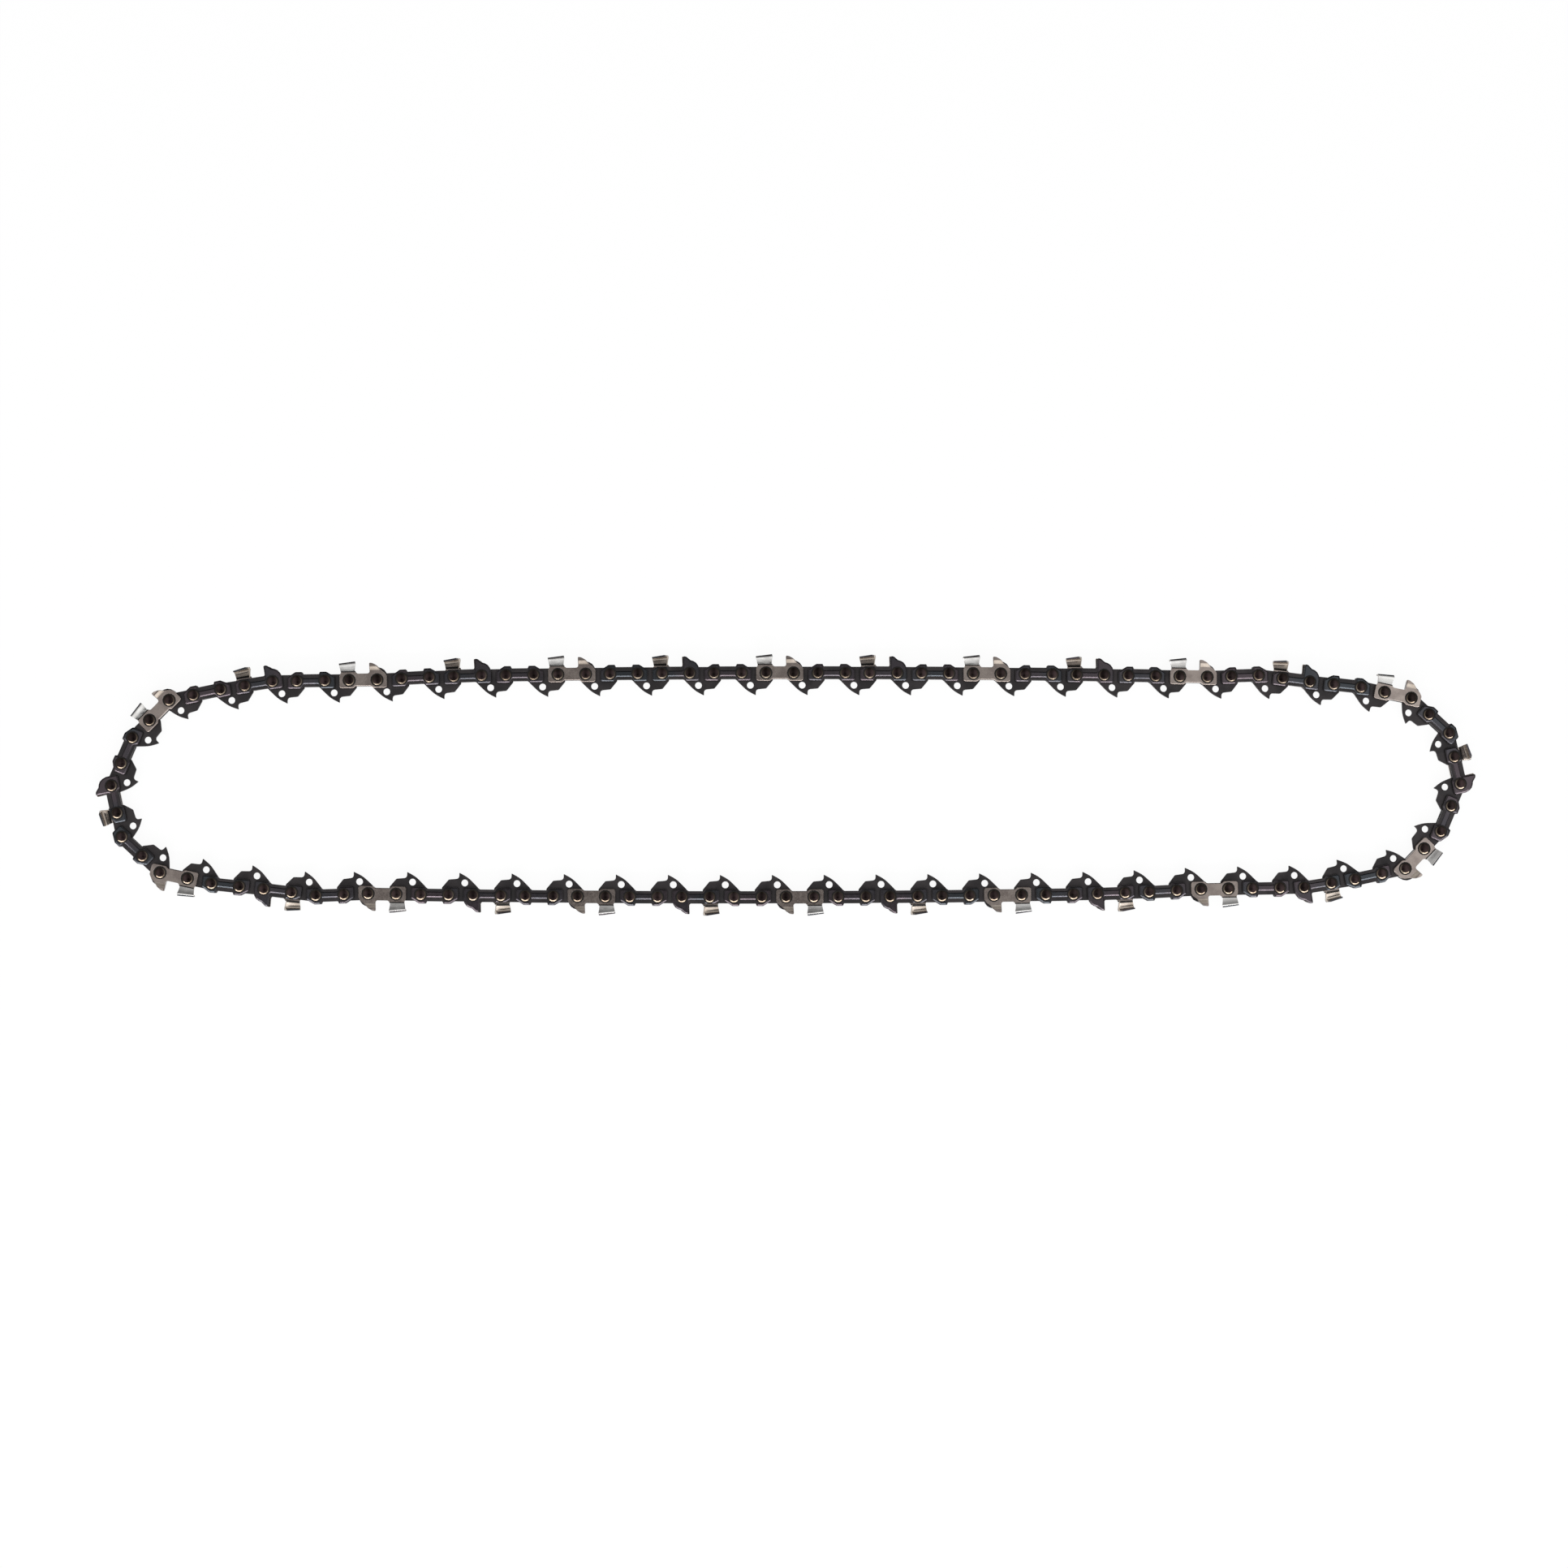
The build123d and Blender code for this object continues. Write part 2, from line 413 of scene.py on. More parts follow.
@dataclass(frozen=True)
class Pitch:
    """Sizes that all pieces share.

    Attributes:
        drive: between the two rivets of a drive link.
        side: between the two rivets of a side plate.
        face: from the middle of the chain to a side plate's inner face.
        outside: from the middle of the chain to a side plate's outer face.
        width: from the middle of the chain to the top of a rivet head.
    """

    drive: float = 8.70
    side: float = 9.94
    face: float = 0.55
    outside: float = 1.75
    width: float = 2.25


PITCH = Pitch()


def opposite(corners: Sequence[Corner]) -> list[Corner]:
    """The same corners over a side plate's other rivet, in the order in which the outline meets them."""
    return [(PITCH.side - x, y, radius) for x, y, radius in reversed(corners)]


@dataclass
class DriveLink:
    """The link that runs in the guide bar's groove, with a hooked tang and a hole through it.

    Attributes:
        eye: half the height of its two eyes.
        eye_corner: rounding of their outer corners.
        reach: how far it goes past each rivet.
        back: corners of the tang's back, from the rear eye to the heel.
        tip: the tang's tip.
        gullet: the hook's hollow, from the tip along the link and from the step in height.
        step: where the tang's front begins to slope up.
        brow: where that slope ends, from the link's front end.
        hole: centre of the hole.
        hole_radius: of the hole.
        edge: rounding of its blanked edges.
    """

    eye: float = 2.30
    eye_corner: float = 1.8
    reach: float = 2.60
    back: tuple[Corner, ...] = ((-2.60, -1.30, 1.2), (-1.45, -2.95, 2.0), (1.90, -6.30, 11.0))
    tip: Corner = (5.05, -7.95, 0.10)
    gullet: Corner = (0.05, -0.35, 1.05)
    step: Corner = (8.80, -5.50, 0.7)
    brow: Corner = (-0.10, -2.60, 0.6)
    hole: Pair = (3.10, -4.35)
    hole_radius: float = 1.24
    edge: float = 0.12

    def outline(self) -> list[Corner]:
        """Go down the back of the tang to its tip, through the gullet and up the front to the eyes.

        Returns:
            The corners, from the rear eye.
        """
        front = PITCH.drive + self.reach
        hollow = (self.tip[0] + self.gullet[0], self.step[1] + self.gullet[1], self.gullet[2])
        brow = (front + self.brow[0], *self.brow[1:])
        first, last = ((x, self.eye, self.eye_corner) for x in (-self.reach, front))
        return [first, *self.back, self.tip, hollow, self.step, brow, last]

    def shell(self) -> Shell:
        """Wall the outline and the hole at four heights, rounded at both faces, and fill the two faces.

        Returns:
            The closed surface.
        """
        half, flat = PITCH.face, PITCH.face - self.edge
        profile = [(self.edge, -half), (0.0, -flat), (0.0, flat), (self.edge, half)]
        edge = [level(rounded(self.outline(), depth), z) for depth, z in profile]
        hole = [level(circle(*self.hole, self.hole_radius + depth)[::-1], z) for depth, z in profile]
        faces, low, high = [], [], []
        start = 0
        for stack in (edge, hole):
            count = len(stack[0])
            faces += ring_walls(count, len(profile), start)
            low.append(np.arange(start, start + count))
            start += count * len(profile)
            high.append(np.arange(start - count, start))
        whole = np.vstack(edge + hole)
        faces += pierced_cap(whole, high, True) + pierced_cap(whole, low, False)
        return Shell(whole, faces, [BLACKENED] * len(faces))


@dataclass
class SidePlate:
    """What straps and cutters share: two eyes and a waist between them.

    Attributes:
        end: how far it goes past each rivet.
        foot: depth of its inner edge at the rivets.
        foot_reach: how far from a rivet that depth ends and the waist begins.
        foot_corners: rounding of the inner edge at its ends and between them.
        inner_waist: depth of its inner edge between the rivets.
        waist: height of its outer edge between the rivets.
        shoulder: height where its ends begin to slope in.
    """

    end: float = 3.52
    foot: float = -2.80
    foot_reach: Pair = (1.40, 2.30)
    foot_corners: Pair = (0.9, 0.6)
    inner_waist: float = -2.10
    waist: float = 2.40
    shoulder: float = 1.35

    def inner_edge(self, waist: float) -> list[Corner]:
        """Follow the inner edge from rear to front.

        Args:
            waist: its depth between the rivets.

        Returns:
            Its corners.
        """
        (flat, slope), (outer, inner) = self.foot_reach, self.foot_corners
        rear = [(-self.end, self.foot, outer), (flat, self.foot, inner), (slope, waist, inner)]
        return rear + opposite(rear)


@dataclass
class Strap(SidePlate):
    """A blued side plate with a raised land: both eyes, and a band along the waist that joins them.

    Attributes:
        recess: depth of the strips beside the band.
        margin: width of the step round the land.
        slope: width of the land's bevel.
        lean: how far the land's top lies towards the guide bar, which widens the outer bevel.
        band: lower and upper edge of the band, before the margin comes off.
        sunk: how far the land goes into the plate.
    """

    recess: float = 0.22
    margin: float = 0.16
    slope: float = 0.36
    lean: float = 0.02
    band: Pair = (-1.25, 1.10)
    sunk: float = 0.10

    def outer_edge(self, waist: float) -> list[Corner]:
        """Follow the outer edge from front to rear.

        Args:
            waist: its height between the rivets.

        Returns:
            Its corners.
        """
        raise NotImplementedError

    def shells(self) -> list[Shell]:
        """A thinner plate with the land on it.

        Returns:
            The closed surfaces of a strap on the right-hand side.
        """
        floor, top = PITCH.outside - self.recess, PITCH.outside
        body = self.inner_edge(self.inner_waist) + self.outer_edge(self.waist)
        land = self.inner_edge(self.band[0]) + self.outer_edge(self.band[1])
        low, step, edge = floor - self.sunk, self.margin, self.margin + self.slope
        raised = pressed(land, [(step, low), (step, floor), (edge, top)], BLUED_AND_SHADE)
        raised.points[raised.points[:, 2] == top, 1] -= self.lean
        # The plate under the land takes the darker blackened finish, so the strip round the land's edge
        # shows darker than the land
        return [pressed(body, [(0.0, PITCH.face), (0.0, low), (step / 2, floor)], BLACKENED), raised]


@dataclass
class TieStrap(Strap):
    """A plain strap with a hump over each rivet.

    Attributes:
        hump: height over the rivets.
        hump_reach: how far a hump's flat goes towards the waist and towards the end.
        hump_step: width of its slope down to the waist.
        hump_corners: rounding on the waist's side and on the end's side.
    """

    hump: float = 3.25
    hump_reach: Pair = (1.75, 0.50)
    hump_step: float = 0.35
    hump_corners: Pair = (0.3, 0.7)

    def outer_edge(self, waist: float) -> list[Corner]:
        """Go over the front hump, down to the waist and over the rear hump.

        Args:
            waist: height between the rivets.

        Returns:
            The corners.
        """
        (inner, outer), (sharp, soft) = self.hump_reach, self.hump_corners
        rear = [
            (inner + self.hump_step, waist, sharp),
            (inner, self.hump, sharp),
            (-outer, self.hump, soft),
            (-self.end, self.shoulder, soft),
        ]
        return opposite(rear) + rear


@dataclass
class BumperStrap(Strap):
    """The strap opposite a cutter, with a guard fin over its front rivet.

    Attributes:
        fin: corners of the fin from its front to its tip, from the front rivet.
        fin_foot: where the fin's rear edge meets the waist, from the front rivet, and the rounding there.
        eye: corners of the rear eye, from the waist to the end.
        eye_step: width of its slope down to the waist.
        end_corners: rounding at the front end and at the rear end.
    """

    fin: tuple[Corner, ...] = (
        (3.05, 2.75, 0.8),
        (2.30, 3.80, 0.8),
        (1.30, 4.40, 0.8),
        (0.25, 4.72, 1.2),
        (-1.15, 5.95, 1.0),
        (-2.38, 6.20, 0.5),
    )
    fin_foot: Pair = (-2.45, 0.5)
    eye: tuple[Corner, ...] = ((1.90, 2.45, 0.2), (-1.75, 2.43, 0.8))
    eye_step: float = 0.40
    end_corners: Pair = (0.6, 0.5)

    def outer_edge(self, waist: float) -> list[Corner]:
        """Go over the fin, along the waist and round the rear eye.

        Args:
            waist: height between the rivets.

        Returns:
            The corners.
        """
        front, (foot, hollow), (first, last) = PITCH.side, self.fin_foot, self.end_corners
        return [
            (front + self.end, self.shoulder, first),
            *((front + x, y, radius) for x, y, radius in self.fin),
            (front + foot, waist, hollow),
            (self.eye[0][0] + self.eye_step, waist, self.eye[0][2]),
            *self.eye,
            (-self.end, self.shoulder, last),
        ]


@dataclass
class Cutter(SidePlate):
    """The side plate that cuts: a hooked blade over the rear rivet and a depth gauge over the front one.

    A section of the blade lies across the chain. Its corners are a height, a place along the rivets and
    a rounding.

    Attributes:
        end_corners: rounding at its front end and at its rear end.
        gauge: corners of the depth gauge from its front to its tip, from the front rivet.
        gauge_foot: where its rear edge meets the gullet, from the front rivet.
        gauge_set: heights, and how far the gauge's face stands out there.
        gauge_inset: how far that face keeps from the gauge's front and rear edges.
        painted_highlight_slope: slope from which the gauge's face takes the brighter filed finish, a painted
            highlight where that face turns to the light.
        gullet: height of the gullet's floor.
        gullet_corners: rounding of the gullet at the gauge and at the blade.
        root: where the gullet ends and the blade's foot begins, ahead of the cutting edge.
        root_corners: rounding of the blade's foot at its front and at its rear.
        blade_foot: height where the blade's wall begins.
        blade_top: height of the top plate at its rear.
        lip: thickness of the top plate.
        brow: where the flat top of the blade's body ends.
        flare: place of the wall's outer face at its foot and at its edge.
        flare_rows: corners on that face.
        inside: place of the wall's inner face at its foot and under the top plate.
        hollow: the corner of that face between the two.
        bend: inner radius between the wall and the top plate.
        skin: thickness of the plating on the top plate and on the wall.
        lap: how far the plating goes into the blade's body.
        plated: how far from the bright facet the plating's upper and lower face turn.
        edge_cut: height of the ground bevel between the wall and the top plate.
        facet_slope: how much its bright facet leans in for its height.
        top_shade: height of the strip at its upper end that is painted dark, as shade.
        strip: how far from the facet that strip's outer and inner edges lie.
        inner_shade: lower and upper edge of the painted shade inside the wall, from its foot.
        inner_shade_proud: how far it stands out there.
        inner_shade_deep: its thickness there.
        rim_stop: where the painted shade under the top plate ends, in bends from the wall.
        proud: how far a skin of painted shade stands out of what it covers.
        seam_edges: lower and upper edge of the painted shade outside the wall, from its foot.
        seam_stop: how far it stops short of the cutting edge.
        seam_bevel: width and depth of its edge.
        seam_deep: its thickness.
        blunt: rounding of the top plate's edges.
        soft: rounding of the wall's edges.
        keen: rounding of the plating's and the seam's edges.
        fine: rounding of the painted shade strip's edges.
        blade_ends: inset and share of the blade's length of each ring along it.
        blade_reach: how far the top plate goes past the middle of the chain.
        rear_top: rear end of the top plate, behind the rear rivet.
        rear_foot: rear end of the wall's foot.
        front: where the cutting edge lies at the outer corner, ahead of the rear rivet.
        rise: how much higher the top plate is at the cutting edge.
        edge_angle: of the cutting edge, from straight across.
        bevel: width and depth of the plate's coined edge.
        lean: how far the coined face lies away from the guide bar, so that the outer edge stays sharp.
    """

    end_corners: Pair = (0.8, 0.5)
    gauge: tuple[Corner, ...] = (
        (2.75, 2.45, 0.6),
        (1.30, 3.62, 2.0),
        (-0.05, 5.25, 2.5),
        (-1.65, 6.08, 1.0),
        (-2.78, 6.22, 0.32),
    )
    gauge_foot: float = -2.62
    gauge_set: tuple[Pair, ...] = (
        (3.40, -0.03),
        (3.75, 0.04),
        (4.15, 0.17),
        (4.55, 0.31),
        (4.90, 0.41),
        (5.15, 0.44),
        (5.50, 0.42),
        (5.95, 0.34),
    )
    gauge_inset: Pair = (0.30, 0.24)
    painted_highlight_slope: float = 0.15
    gullet: float = 2.35
    gullet_corners: Pair = (0.8, 0.5)
    root: Pair = (0.55, -0.05)
    root_corners: Pair = (0.25, 0.3)
    blade_foot: float = 2.85
    blade_top: float = 6.00
    lip: float = 0.55
    brow: float = 1.55
    flare: Pair = (1.63, 2.23)
    flare_rows: int = 7
    inside: Pair = (0.57, 1.64)
    hollow: Corner = (4.00, 1.18, 3.0)
    bend: float = 0.50
    skin: Pair = (0.10, 0.20)
    lap: float = 0.05
    plated: Pair = (0.45, 0.60)
    edge_cut: float = 0.66
    facet_slope: float = 4 / 9
    top_shade: float = 0.42
    strip: Pair = (0.30, 0.60)
    inner_shade: Pair = (-0.05, 0.72)
    inner_shade_proud: Pair = (0.04, 0.02)
    inner_shade_deep: Pair = (0.3, 0.2)
    rim_stop: float = 1.4
    proud: float = 0.01
    seam_edges: Pair = (-0.04, 0.38)
    seam_stop: float = 0.10
    seam_bevel: Pair = (0.04, 0.02)
    seam_deep: float = 0.5
    blunt: float = 0.08
    soft: float = 0.06
    keen: float = 0.05
    fine: float = 0.04
    blade_ends: tuple[Pair, ...] = ((0.04, 0.0), (0.0, 0.01), (0.0, 0.99), (0.04, 1.0))
    blade_reach: float = 0.45
    rear_top: float = 3.62
    rear_foot: float = 2.95
    front: float = 2.45
    rise: float = 0.72
    edge_angle: float = math.radians(30)
    bevel: Pair = (0.11, 0.105)
    lean: float = 0.09

    def outer_edge(self) -> list[Corner]:
        """Go over the depth gauge, through the gullet and along the blade's foot, from front to rear.

        Returns:
            The corners.
        """
        front, (first, last) = PITCH.side, self.end_corners
        return [
            (front + self.end, self.shoulder, first),
            *((front + x, y, radius) for x, y, radius in self.gauge),
            (front + self.gauge_foot, self.gullet, self.gullet_corners[0]),
            (self.front + self.root[0], self.gullet, self.gullet_corners[1]),
            (self.front + self.root[1], self.blade_foot, self.root_corners[0]),
            (-self.rear_foot, self.blade_foot, self.root_corners[1]),
            (-self.end, self.shoulder, last),
        ]

    def wall(self, inward: float) -> list[Corner]:
        """Go down the wall's outer face, which flares out with the square of height above the foot.

        Args:
            inward: how far under that face to stay.

        Returns:
            Corners of a section, from the flare's edge to the foot.
        """
        foot, edge = self.flare
        share = np.linspace(1, 0, self.flare_rows)
        high = self.blade_foot + share * (self.blade_top - self.edge_cut - self.blade_foot)
        out = foot + (edge - foot) * share**2 - inward
        return [(y, z, self.soft) for y, z in zip(high, out)]

    def facet(self) -> Pair:
        """Find where the ground bevel's bright facet ends, which begins at the flare's edge.

        Returns:
            Height and place along the rivets.
        """
        tall = self.edge_cut - self.top_shade
        return self.blade_top - self.top_shade, self.wall(0.0)[0][1] - tall * self.facet_slope

    def core(self) -> list[Corner]:
        """The blade's body: a wall that thins upwards, and a top plate.

        Returns:
            Corners of a section.
        """
        under, over, (foot, head) = self.blade_top - self.lip, self.blade_top - self.skin[0], self.inside
        return [
            (self.blade_foot, foot, self.soft),
            self.hollow,
            (under, head, self.bend),
            (under, -self.blade_reach, self.blunt),
            (over, -self.blade_reach, self.blunt),
            (over, self.brow, self.blunt),
            *self.wall(self.skin[1]),
        ]

    def plating(self) -> list[Corner]:
        """The chromed skin on top of the blade and down its outer face.

        Returns:
            Corners of a section.
        """
        top, (high, out) = self.blade_top, self.facet()
        under = top - self.skin[0] - self.lap
        return [
            (under, -self.blade_reach, self.keen),
            (top, -self.blade_reach, self.keen),
            (top, out - self.plated[0], self.soft),
            (high, out, self.keen),
            *self.wall(0.0),
            *self.wall(self.skin[1] + self.lap)[::-1],
            (under, out - self.plated[1], self.soft),
        ]

    def top_shade_strip(self) -> list[Corner]:
        """The dark strip of painted shade from the facet to the top of the blade, over the plating.

        Returns:
            Corners of a section.
        """
        top, (high, out), (near, deep) = self.blade_top + self.proud, self.facet(), self.strip
        corners = (top, out - deep), (top, out - near), (high, out), (high, out - near)
        return [(y, z, self.fine) for y, z in corners]

    def crease(self) -> list[Corner]:
        """The black strip of painted shade inside the wall's foot, just proud of the wall, which leans out
        to the hollow.

        Returns:
            Corners of a section.
        """
        low, high = (self.blade_foot + edge for edge in self.inner_shade)
        lean = (self.hollow[1] - self.inside[0]) / (self.hollow[0] - self.blade_foot)
        foot = self.inside[0] - self.inner_shade_proud[0]
        head = self.inside[0] - self.inner_shade_proud[1] + lean * self.inner_shade[1]
        thick, thin = self.inner_shade_deep
        corners = (low, foot), (high, head), (high, head + thin), (low, foot + thick)
        return [(y, z, SHARPEST) for y, z in corners]

    def rim(self) -> list[Corner]:
        """The dark skin of painted shade on the top plate's free edge and under it, as far as the bend.

        Returns:
            Corners of a section.
        """
        low, high = self.blade_top - self.lip - self.proud, self.blade_top - self.proud
        near, deep = -self.blade_reach - self.proud, self.inside[1] - self.rim_stop * self.bend
        return [(y, z, SHARPEST) for y, z in ((low, near), (high, near), (high, deep), (low, deep))]

    def along(self, section: list[Corner], finish: SteelFinish) -> Shell:
        """Carry a section along the chain, from a slanted rear edge to an angled cutting edge.

        The rear edge leans back in proportion to height and the front edge falls back across the chain
        by the tangent of the edge angle. Height grows along the blade in proportion to height above the
        foot, so that the foot stays level.

        Args:
            section: corners of a section.
            finish: what it is made of.

        Returns:
            The closed surface.
        """
        rows = []
        for depth, share in self.blade_ends:
            ring = rounded(section, depth, SECTION_STEPS)
            high, across = ring[:, 0], ring[:, 1]
            lift = np.clip((high - self.blade_foot) / (self.blade_top - self.blade_foot), 0, 1)
            rear = -self.rear_foot - (self.rear_top - self.rear_foot) * lift
            front = self.front - (PITCH.width - across) * math.tan(self.edge_angle)
            place = (rear + (front - rear) * share, high + self.rise * lift * share, across)
            rows.append(np.stack(place, axis=1))
        return closed_stack(np.stack(rows), [finish] * (len(rows) - 1))

    def seam(self) -> Shell:
        """The black painted shade in the crease between plate and blade, a low strip along the blade's foot.

        Returns:
            The closed surface.
        """
        low, high = (self.blade_foot + edge for edge in self.seam_edges)
        rear, front = -self.rear_foot, self.front - self.seam_stop
        corners = [(x, y, self.keen) for x, y in ((rear, low), (front, low), (front, high), (rear, high))]
        top, (wide, deep) = PITCH.outside, self.seam_bevel
        return pressed(corners, [(0.0, top - self.seam_deep), (0.0, top - deep), (wide, top)], PAINTED_SHADE)

    def gauge_face(self) -> Shell:
        """The set of the depth gauge: its face steps out in a short slope and falls back to its tip.

        A ring crosses the gauge at each height, from its rear edge to the front edge that the gauge's
        corners give there, both moved in by the inset.

        Returns:
            The closed surface.
        """
        high, out = np.array(self.gauge_set).T
        edge_x, edge_y = np.array(self.gauge)[:, :2].T
        front = PITCH.side + np.interp(high, edge_y, edge_x) - self.gauge_inset[0]
        rear = np.full_like(high, PITCH.side + edge_x[-1] + self.gauge_inset[1])
        low, top = np.full_like(high, PITCH.face), PITCH.outside + out
        across = [(rear, high, low), (rear, high, top), (front, high, top), (front, high, low)]
        # Faces steeper than that slope take the brighter filed finish: a painted highlight where the gauge
        # turns to the light
        bands = [FILED_AND_HIGHLIGHT if slope > self.painted_highlight_slope else SATIN for slope in np.diff(out) / np.diff(high)]
        return closed_stack(np.array(across).transpose(2, 0, 1), bands)

    def shells(self) -> list[Shell]:
        """The plate with its gullet and depth gauge, and the blade.

        Returns:
            The closed surfaces of a cutter on the right-hand side.
        """
        # The blade's dark top strip, the skin on and under its top plate and the strip inside its wall's
        # foot are painted shade
        sections = self.core(), self.plating(), self.top_shade_strip(), self.rim(), self.crease()
        blade = [self.along(*skin) for skin in zip(sections, (FILED_AND_HIGHLIGHT, CHROME, BLUED_AND_SHADE, BLUED_AND_SHADE, PAINTED_SHADE))]
        wide, deep = self.bevel
        edge = [(0.0, PITCH.face), (0.0, PITCH.outside - deep), (wide, PITCH.outside)]
        plate = pressed(self.inner_edge(self.inner_waist) + self.outer_edge(), edge, SATIN)
        plate.points[plate.points[:, 2] == PITCH.outside, 1] += self.lean
        return [plate, self.gauge_face(), *blade, self.seam()]


@dataclass
class RivetHead:
    """The spun head of a rivet: a black ring of painted shade in the crease round it, a burnished shoulder
    whose lighter tone is partly a painted highlight, and a browned dome.

    Attributes:
        profile: radius and height above the side plate of each ring, from the plate to the top.
        bands: what the wall above each ring is made of.
    """

    profile: tuple[Pair, ...] = (
        (2.38, -0.10),
        (2.38, 0.05),
        (1.88, 0.09),
        (1.54, 0.298),
        (0.75, 0.48),
    )
    bands: tuple[SteelFinish, ...] = (PAINTED_SHADE, PAINTED_SHADE, BURNISHED_AND_HIGHLIGHT, BROWNED)

    def shell(self, x: float) -> Shell:
        """Turn the profile about the rivet's axis: a ring is a circle of its radius at its height.

        Args:
            x: place along the chain.

        Returns:
            The closed surface of a head on the right-hand side.
        """
        rings = [level(circle(x, 0.0, radius), PITCH.outside + z) for radius, z in self.profile]
        return closed_stack(np.stack(rings), self.bands)


@dataclass
class LinkUnit:
    """One link unit of the loop and where it lies.

    Attributes:
        body: the body that it rides on.
        node: the CAD node that it stands for.
        slot: the record's material slot.
        side: what it carries.
        rear: its rear pivot, in metres.
        front: its front pivot, in metres.
        drive: its drive link.
        head: its rivet heads.
    """

    body: str
    node: str
    slot: str
    side: Side
    rear: Points
    front: Points
    drive: DriveLink = field(default_factory=DriveLink)
    head: RivetHead = field(default_factory=RivetHead)

    def pair(self) -> list[Shell]:
        """Both side plates, the right one as drawn and the left one mirrored.

        Returns:
            Their closed surfaces, from the unit's rear pivot.
        """
        right = {Side.RIGHT_CUTTER: Cutter, Side.LEFT_CUTTER: BumperStrap, Side.TIE: TieStrap}[self.side]()
        left = {Side.RIGHT_CUTTER: BumperStrap, Side.LEFT_CUTTER: Cutter, Side.TIE: TieStrap}[self.side]()
        shells = right.shells() + [shell.mirrored() for shell in left.shells()]
        return [shell.shifted(PITCH.drive) for shell in shells]

    def heads(self) -> list[Shell]:
        """The heads of both rivets, on both sides."""
        right = [self.head.shell(x) for x in (PITCH.drive, PITCH.drive + PITCH.side)]
        return right + [shell.mirrored() for shell in right]

    def laid(self, points: Points) -> Points:
        """Turn points to the unit's heading, move them to its rear pivot and give them in metres.

        Args:
            points: millimetres in the unit's frame.

        Returns:
            Metres in the frame of the whole loop.
        """
        along = unit_rows((self.front - self.rear)[:2])
        turn = np.array([[along[0], along[1], 0], [-along[1], along[0], 0], [0, 0, 1]])
        return points @ turn * MM + self.rear

    def piece(self, name: str, shells: list[Shell]) -> bpy.types.Object:
        """Join closed surfaces into one object that rides on the unit's body.

        Args:
            name: the object's name.
            shells: its surfaces, in the unit's frame.

        Returns:
            The object.
        """
        starts = np.cumsum([0] + [len(shell.points) for shell in shells])
        points = self.laid(np.vstack([shell.points for shell in shells]))
        joined = zip(starts.tolist(), shells)
        faces = [[start + i for i in face] for start, shell in joined for face in shell.faces]
        finishes = list(dict.fromkeys(finish for shell in shells for finish in shell.finishes))
        slots = [finishes.index(finish) for shell in shells for finish in shell.finishes]
        mesh = bpy.data.meshes.new(name)
        mesh.from_pydata(points.tolist(), [], faces)
        for finish in finishes:
            mesh.materials.append(finish.material())
        mesh.polygons.foreach_set("material_index", slots)
        mesh.polygons.foreach_set("use_smooth", np.ones(len(faces), dtype=bool))
        mesh.set_sharp_from_angle(angle=SHARP_ANGLE)
        mesh.update()
        made = bpy.data.objects.new(name, mesh)
        bpy.context.collection.objects.link(made)
        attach(made, self.body)
        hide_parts(self.node)
        return made

    def build(self) -> list[bpy.types.Object]:
        """Make the unit's two objects: its drive link, and its side plates with their rivets.

        Returns:
            The two objects.
        """
        number = self.body.rsplit("_", 1)[1]
        drive = self.piece(f"drive_link_{number}", [self.drive.shell()])
        return [drive, self.piece(f"side_plates_{number}", self.pair() + self.heads())]


@dataclass
class ChainLoop:
    """The closed loop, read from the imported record.

    Attributes:
        record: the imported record.
    """

    record: dict[str, Any]

    def pivots(self) -> Points:
        """Front pivot of each unit in turn. The pivot with no joint lies opposite the one half a loop on.

        Returns:
            The pivots in metres, one a row.
        """
        behaviour = self.record["behaviour"]
        count = len(behaviour["bodies"])
        found = np.full((count, 3), np.nan)
        for joint in behaviour["joints"]:
            found[int(joint["name"].rsplit("_", 1)[1]) - 1] = joint["pos_m"]
        half_on = np.roll(found, count // 2, axis=0) * (-1.0, -1.0, 1.0)
        return np.where(np.isnan(found), half_on, found)

    def units(self) -> list[LinkUnit]:
        """Every unit with its place, in the order of travel.

        Returns:
            The units.
        """
        fronts = self.pivots()
        rears = np.roll(fronts, 1, axis=0)
        slots = {part["node"]: part["material_slot"] for part in self.record["subparts"]}
        bodies = sorted(self.record["behaviour"]["bodies"].items())
        return [
            LinkUnit(body, node, slots[node], Side(node.split("_", 2)[2]), rear, front)
            for (body, (node,)), rear, front in zip(bodies, rears, fronts)
        ]


# The studio


@dataclass(frozen=True)
class Lamp:
    """A soft box aimed at the loop.

    Attributes:
        name: the lamp's name.
        power: in watts.
        size: width and height, in metres.
        azimuth: where it stands, in degrees from +X.
        elevation: above the floor, in degrees.
        distance: from the loop, in metres.
    """

    name: str
    power: float
    size: Pair
    azimuth: float
    elevation: float
    distance: float = 1.5

    def hang(self) -> None:
        """Make the lamp at its distance along its direction, looking back at the loop."""
        data = bpy.data.lights.new(self.name, "AREA")
        data.energy, data.shape = self.power, "RECTANGLE"
        data.size, data.size_y = self.size
        made = bpy.data.objects.new(self.name, data)
        a, e = math.radians(self.azimuth), math.radians(self.elevation)
        way = Vector((math.cos(a) * math.cos(e), math.sin(a) * math.cos(e), math.sin(e)))
        made.location = way * self.distance
        made.rotation_euler = way.to_track_quat("Z", "Y").to_euler()
        bpy.context.collection.objects.link(made)


